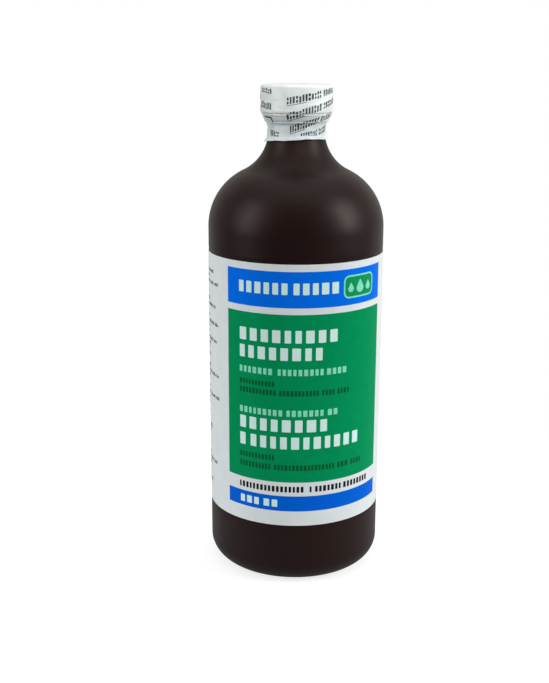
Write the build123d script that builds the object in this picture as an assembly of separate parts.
from build123d import *
import math
import os

# Round half-litre antiseptic solution bottle with a 24-400 screw closure.
# Frame: +Z up, origin at the centre of the base on the surface it stands on,
# middle of the label's front panel towards -Y.  All dimensions in millimetres.

# ---------------------------------------------------------------- dimensions
# bottle body, outside
body_r = 34.5            # barrel radius (diameter 69)
heel_r = 9.0             # heel fillet between the base and the barrel
base_ring_in = 22.0      # inner edge of the standing ring
base_push_up = 3.0       # height of the domed base over the table
barrel_top = 138.4       # where the shoulder begins
dome_r = 24.0            # convex shoulder arc
dome_cr = body_r - dome_r
flare_r = 17.5           # concave arc from the shoulder to the neck
neck_r = 10.85           # E diameter 21.7
wall = 0.9               # blown wall
base_wall = 1.3          # thicker bottom
step_depth = 0.10        # the label panel is a hair below the barrel radius

# neck finish, 24-400
mouth_z = 190.3          # top of the sealing land
bore_r = 8.9
bore_length = 12.0
thread_crest_r = 11.85   # T diameter 23.7
thread_pitch = 3.175     # 8 threads per inch
thread_start = 1.2       # land height over the first thread, S
thread_root_w = 2.0
thread_crest_w = 1.0
thread_turns = 1.12
bead_r = 11.05           # small transfer bead under the finish
bead_z = 178.9

# liner
liner_t = 1.0
liner_r = 11.80

# screw cap
cap_panel_t = 1.2
cap_r = 13.70            # over the ribs
cap_rib_depth = 0.28
cap_ribs = 90
cap_in_r = 12.10
cap_bottom = 182.30
cap_thread_r = 11.30     # crest of the inside thread
cap_thread_root_w = 1.30
cap_thread_crest_w = 0.60
cap_thread_drop = 1.40   # cap thread rides this far below the bottle's thread
cap_thread_turns = 1.15
cap_bead_r = 11.62       # ring that keeps the liner in the cap
cap_edge_r = 0.7

# shrink band
band_t = 0.12
band_r = 13.93           # over the cap
band_lip_in = 11.6       # the lip folded over the cap's top
band_split = 182.20      # tear line, level with the cap's lower edge
band_gap = 0.12
band_low = 172.6         # lower edge at the neck

# label
label_z0, label_z1 = 25.6, 129.2
label_gap = 0.05
label_t = 0.10
label_lap = 14.0         # degrees of overlap at the back

# contents
fill_ml = 500.0
liquid_gap = 0.05

os.makedirs("parts", exist_ok=True)


def write(shape, name):
    shape.label = name
    export_step(shape, f"parts/{name}.step")


def ring(points, name=None):
    """Solid of revolution about Z from (r, z) corners."""
    face = make_face(Polyline(*[(r, 0, z) for r, z in points], close=True))
    return revolve(face, Axis.Z, 360)


# ------------------------------------------------------------ shoulder curve
dome_c = (dome_cr, barrel_top)
flare_c_r = neck_r + flare_r
_d = dome_r + flare_r
flare_c = (
    flare_c_r,
    barrel_top + math.sqrt(_d**2 - (flare_c_r - dome_cr) ** 2),
)


def tangent_point(offset):
    """Point where the shoulder turns from convex to concave; offset is inwards."""
    k = (dome_r - offset) / _d
    return (
        dome_c[0] + k * (flare_c[0] - dome_c[0]),
        dome_c[1] + k * (flare_c[1] - dome_c[1]),
    )


def arc_mid(c, r, a, b):
    """Middle of the arc about c between points a and b."""
    ta = math.atan2(a[1] - c[1], a[0] - c[0])
    tb = math.atan2(b[1] - c[1], b[0] - c[0])
    while tb - ta > math.pi:
        tb -= 2 * math.pi
    while ta - tb > math.pi:
        tb += 2 * math.pi
    t = (ta + tb) / 2
    return (c[0] + r * math.cos(t), c[1] + r * math.sin(t))


def P(p):
    return (p[0], 0, p[1])


def line(a, b):
    return Line(P(a), P(b))


def arc(c, r, a, b):
    return ThreePointArc(P(a), P(arc_mid(c, r, a, b)), P(b))


# ------------------------------------------------------------------- bottle
def outside_edges():
    """Outside of the bottle from the axis at the base to the mouth's edge."""
    e = []
    # domed base: flat centre, an S of two arcs down to the standing ring
    r1, r2 = 9.0, base_ring_in
    z1 = base_push_up
    c = [(0, z1), (r1, z1)]
    e.append(line(c[0], c[1]))
    mid = ((r1 + r2) / 2, z1 / 2)
    # both arcs of the S have the same radius and meet at mid
    s = math.hypot((r2 - r1) / 2, z1 / 2)
    rad = s * s / (z1)
    ca = (r1, z1 - rad)
    cb = (r2, rad)
    e.append(arc(ca, rad, (r1, z1), mid))
    e.append(arc(cb, rad, mid, (r2, 0)))
    e.append(line((r2, 0), (body_r - heel_r, 0)))
    e.append(
        arc(
            (body_r - heel_r, heel_r),
            heel_r,
            (body_r - heel_r, 0),
            (body_r, heel_r),
        )
    )
    # barrel with the label panel set in by step_depth
    s0, s1 = label_z0 - 1.6, label_z1 + 1.6
    pr = body_r - step_depth
    e.append(line((body_r, heel_r), (body_r, s0)))
    e.append(line((body_r, s0), (pr, s0 + 0.8)))
    e.append(line((pr, s0 + 0.8), (pr, s1 - 0.8)))
    e.append(line((pr, s1 - 0.8), (body_r, s1)))
    e.append(line((body_r, s1), (body_r, barrel_top)))
    # shoulder
    t = tangent_point(0)
    e.append(arc(dome_c, dome_r, (body_r, barrel_top), t))
    e.append(arc(flare_c, flare_r, t, (neck_r, flare_c[1])))
    # neck, transfer bead and finish
    e.append(line((neck_r, flare_c[1]), (neck_r, bead_z - 0.9)))
    e.append(arc_bead())
    e.append(line((neck_r, bead_z + 0.9), (neck_r, mouth_z - 0.35)))
    e.append(line((neck_r, mouth_z - 0.35), (neck_r - 0.35, mouth_z)))
    return e, (neck_r - 0.35, mouth_z)


def arc_bead():
    return ThreePointArc(
        (neck_r, 0, bead_z - 0.9), (bead_r, 0, bead_z), (neck_r, 0, bead_z + 0.9)
    )


taper_z0 = 175.86
taper_r0 = neck_r - wall


def inside_edges(gap=0.0, top=None):
    """Inside of the bottle from the axis at the bottom to the mouth, moved inwards by gap."""
    e = []
    w = wall + gap
    b = base_wall + gap
    r1, r2 = 9.0, base_ring_in - 0.6
    z1 = base_push_up
    e.append(line((0, z1 + b), (r1, z1 + b)))
    mid = ((r1 + r2) / 2, z1 / 2 + b)
    s = math.hypot((r2 - r1) / 2, z1 / 2)
    rad = s * s / z1
    e.append(arc((r1, z1 + b - rad), rad, (r1, z1 + b), mid))
    e.append(arc((r2, rad + b), rad, mid, (r2, b)))
    hr = heel_r - wall - gap
    hr = min(hr, heel_r - 0.9)
    ir = body_r - step_depth - w
    e.append(line((r2, b), (ir - hr, b)))
    e.append(arc((ir - hr, b + hr), hr, (ir - hr, b), (ir, b + hr)))
    return e, ir, w


def inner_top(ir, w):
    """Shoulder, flare and neck on the inside: edges and the last point."""
    e = []
    dr = dome_r - w - step_depth
    fr = flare_r + w + step_depth
    k = dr / (dr + fr)
    cd = dome_c
    t = (
        cd[0] + k * (flare_c[0] - cd[0]),
        cd[1] + k * (flare_c[1] - cd[1]),
    )
    e.append(arc(cd, dr, (cd[0] + dr, cd[1]), t))
    end = (flare_c[0] - fr, flare_c[1])
    e.append(arc(flare_c, fr, t, end))
    return e, end


def cavity(gap=0.0):
    """Solid that fills the inside of the bottle up to the mouth."""
    e, ir, w = inside_edges(gap)
    start = e[-1].position_at(1)
    hr = min(heel_r - wall - gap, heel_r - 0.9)
    b = base_wall + gap
    top_e, end = inner_top(ir, w)
    e.append(line((ir, b + hr), (dome_c[0] + dome_r - w - step_depth, barrel_top)))
    e += top_e
    bz = mouth_z - bore_length
    br = bore_r - gap
    e.append(line(end, (br, bz)))
    e.append(line((br, bz), (br, mouth_z)))
    e.append(line((br, mouth_z), (0, mouth_z)))
    e.append(line((0, mouth_z), (0, base_push_up + b)))
    return revolve(make_face(Wire(e)), Axis.Z, 360)


def helix_ridge(r_root, r_crest, w_root, w_crest, z_top, turns, fade_deg, a0, sign):
    """Trapezoid ridge on a right-handed helix, fading into the wall at both ends.

    z_top is the middle of the ridge at its upper end.  sign is +1 for a ridge that stands
    out of a shaft and -1 for one that stands in from a bore.
    """
    total = 360.0 * turns
    step = 12.0
    n = int(round(total / step))
    sections = []
    for i in range(n + 1):
        ang = total * i / n
        z = z_top - thread_pitch * (total - ang) / 360.0
        edge = min(ang, total - ang)
        k = min(1.0, edge / fade_deg)
        k = k * k * (3 - 2 * k)
        r_out = r_root - sign * 0.25
        top = r_root - sign * 0.12 + k * (r_crest - (r_root - sign * 0.12))
        h = abs(r_crest - r_root)
        slope = (w_root - w_crest) / 2 / h
        wt = w_crest / 2
        wb = wt + slope * abs(top - r_out)
        a = math.radians(a0 + ang)
        pts = [
            (r_out, z - wb),
            (top, z - wt),
            (top, z + wt),
            (r_out, z + wb),
        ]
        pts3 = [(r * math.cos(a), r * math.sin(a), zz) for r, zz in pts]
        sections.append(Wire(Polyline(*pts3, close=True).edges()))
    return Solid.make_loft(sections, ruled=False)


def make_bottle():
    e, end = outside_edges()
    e.append(line(end, (0, mouth_z)))
    e.append(line((0, mouth_z), (0, base_push_up)))
    outer = revolve(make_face(Wire(e)), Axis.Z, 360)
    ridge = helix_ridge(
        neck_r,
        thread_crest_r,
        thread_root_w,
        thread_crest_w,
        mouth_z - thread_start - thread_root_w / 2,
        thread_turns,
        26,
        -110,
        1,
    )
    body = outer + ridge
    body = body - cavity()
    return body


# -------------------------------------------------------------------- liner
def make_liner():
    z0 = mouth_z
    return ring(
        [
            (0, z0),
            (liner_r - 0.15, z0),
            (liner_r, z0 + 0.15),
            (liner_r, z0 + liner_t - 0.15),
            (liner_r - 0.15, z0 + liner_t),
            (0, z0 + liner_t),
        ]
    )


# ---------------------------------------------------------------------- cap
cap_top = mouth_z + liner_t + cap_panel_t


def make_cap():
    z_in = mouth_z + liner_t
    core_r = cap_r - cap_rib_depth
    er = cap_edge_r
    pts = [
        Line((0, 0, z_in), (liner_r + 0.15, 0, z_in)),
        Line((liner_r + 0.15, 0, z_in), (liner_r + 0.15, 0, mouth_z - 0.10)),
        Line((liner_r + 0.15, 0, mouth_z - 0.10), (cap_bead_r, 0, mouth_z - 0.35)),
        Line((cap_bead_r, 0, mouth_z - 0.35), (cap_bead_r, 0, mouth_z - 0.60)),
        Line((cap_bead_r, 0, mouth_z - 0.60), (cap_in_r, 0, mouth_z - 1.0)),
        Line((cap_in_r, 0, mouth_z - 1.0), (cap_in_r, 0, cap_bottom + 0.35)),
        Line((cap_in_r, 0, cap_bottom + 0.35), (cap_in_r + 0.25, 0, cap_bottom)),
        Line((cap_in_r + 0.25, 0, cap_bottom), (core_r, 0, cap_bottom)),
        Line((core_r, 0, cap_bottom), (core_r, 0, cap_top - er)),
        ThreePointArc(
            (core_r, 0, cap_top - er),
            (
                core_r - er + er * math.cos(math.pi / 4),
                0,
                cap_top - er + er * math.sin(math.pi / 4),
            ),
            (core_r - er, 0, cap_top),
        ),
        Line((core_r - er, 0, cap_top), (0, 0, cap_top)),
        Line((0, 0, cap_top), (0, 0, z_in)),
    ]
    core = revolve(make_face(Wire(pts)), Axis.Z, 360)
    # knurl of fine upright ribs, one outline extruded
    out = []
    n = cap_ribs
    half_top, half_root = 0.27 / cap_r, 0.42 / cap_r
    r0, r1 = core_r - 0.02, cap_r
    for i in range(n):
        a = 2 * math.pi * i / n
        for da, r in (
            (-half_root, r0),
            (-half_top, r1),
            (half_top, r1),
            (half_root, r0),
        ):
            out.append((r * math.cos(a + da), r * math.sin(a + da)))
    rib_z0, rib_z1 = cap_bottom + 0.45, cap_top - 1.1
    outline = make_face(Polyline(*out, close=True))
    outline = outline - Circle(cap_in_r + 0.45)
    ribs = extrude(outline, rib_z1 - rib_z0).moved(Location((0, 0, rib_z0)))
    cap = core + ribs
    thread_mid_top = mouth_z - thread_start - thread_root_w / 2 - cap_thread_drop
    ridge = helix_ridge(
        cap_in_r,
        cap_thread_r,
        cap_thread_root_w,
        cap_thread_crest_w,
        thread_mid_top,
        cap_thread_turns,
        26,
        -110 + 360.0 * (thread_turns - cap_thread_turns),
        -1,
    )
    return cap + ridge


# -------------------------------------------------------------- shrink band
def make_band_upper():
    z1 = cap_top + 0.02
    z2 = z1 + band_t - 0.02
    ri = band_r - band_t
    er = 0.85
    zb = band_split + band_gap / 2
    e = [
        Line((band_lip_in, 0, z1), (ri - er + band_t, 0, z1)),
        ThreePointArc(
            (ri - er + band_t, 0, z1),
            (
                ri - er + band_t + (er - band_t) * math.sin(math.pi / 4),
                0,
                z1 - (er - band_t) * (1 - math.cos(math.pi / 4)),
            ),
            (ri, 0, z1 - (er - band_t)),
        ),
        Line((ri, 0, z1 - (er - band_t)), (ri, 0, zb)),
        Line((ri, 0, zb), (band_r, 0, zb)),
        Line((band_r, 0, zb), (band_r, 0, z2 - er)),
        ThreePointArc(
            (band_r, 0, z2 - er),
            (
                band_r - er + er * math.cos(math.pi / 4),
                0,
                z2 - er + er * math.sin(math.pi / 4),
            ),
            (band_r - er, 0, z2),
        ),
        Line((band_r - er, 0, z2), (band_lip_in, 0, z2)),
        Line((band_lip_in, 0, z2), (band_lip_in, 0, z1)),
    ]
    return revolve(make_face(Wire(e)), Axis.Z, 360)


def make_band_lower():
    zt = band_split - band_gap / 2
    # outside of the band, top to bottom
    prof = [
        (13.86, zt),
        (13.42, 181.5),
        (13.05, 180.6),
        (12.70, 179.85),
        (12.20, 179.15),
        (11.70, 178.5),
        (11.38, 177.8),
        (11.24, 176.9),
        (11.20, 175.6),
        (11.25, 174.2),
        (11.42, 173.3),
        (11.56, 172.6),
    ]
    outer = Spline(*[(r, 0, z) for r, z in prof])
    inner = Spline(*[(r - band_t, 0, z) for r, z in prof])
    e = [
        outer,
        Line((prof[-1][0], 0, prof[-1][1]), (prof[-1][0] - band_t, 0, prof[-1][1])),
        inner,
        Line((prof[0][0] - band_t, 0, prof[0][1]), (prof[0][0], 0, prof[0][1])),
    ]
    return revolve(make_face(Wire(e)), Axis.Z, 360)


# -------------------------------------------------------------------- label
def make_label():
    r0 = body_r - step_depth + label_gap
    r1 = r0 + label_t
    h = label_z1 - label_z0
    sheet = Circle(r1) - Circle(r0)
    # the free end laps over the other end at the back (+Y)
    a = math.radians(label_lap / 2)
    r2 = r1 + label_t
    r1b = r1 - 0.02
    lap = make_face(
        Wire(
            [
                ThreePointArc(
                    (r2 * math.sin(-a), r2 * math.cos(a)),
                    (0, r2),
                    (r2 * math.sin(a), r2 * math.cos(a)),
                ),
                Line(
                    (r2 * math.sin(a), r2 * math.cos(a)),
                    (r1b * math.sin(a + 0.02), r1b * math.cos(a + 0.02)),
                ),
                ThreePointArc(
                    (r1b * math.sin(a + 0.02), r1b * math.cos(a + 0.02)),
                    (0, r1b),
                    (r1b * math.sin(-a), r1b * math.cos(a)),
                ),
                Line(
                    (r1b * math.sin(-a), r1b * math.cos(a)),
                    (r2 * math.sin(-a), r2 * math.cos(a)),
                ),
            ]
        )
    )
    return extrude(sheet + lap, h).moved(Location((0, 0, label_z0)))


# ----------------------------------------------------------------- solution
def make_solution():
    c = cavity(liquid_gap)
    lo, hi = 120.0, 170.0
    for _ in range(14):
        mid = (lo + hi) / 2
        v = (c & Pos(0, 0, mid / 2) * Box(90, 90, mid)).volume / 1000.0
        if v < fill_ml:
            lo = mid
        else:
            hi = mid
    z = round((lo + hi) / 2, 2)
    return (c & Pos(0, 0, z / 2) * Box(90, 90, z)), z


if __name__ == "__main__":
    bottle = make_bottle()
    write(bottle, "bottle")
    solution, fill_z = make_solution()
    write(solution, "solution")
    write(make_label(), "label")
    write(make_liner(), "liner")
    write(make_cap(), "cap")
    write(make_band_upper(), "band_upper")
    write(make_band_lower(), "band_lower")
    print("fill level", fill_z, "brimful ml", round(cavity().volume / 1000, 1))
    print("bottle ml of plastic", round(bottle.volume / 1000, 2))
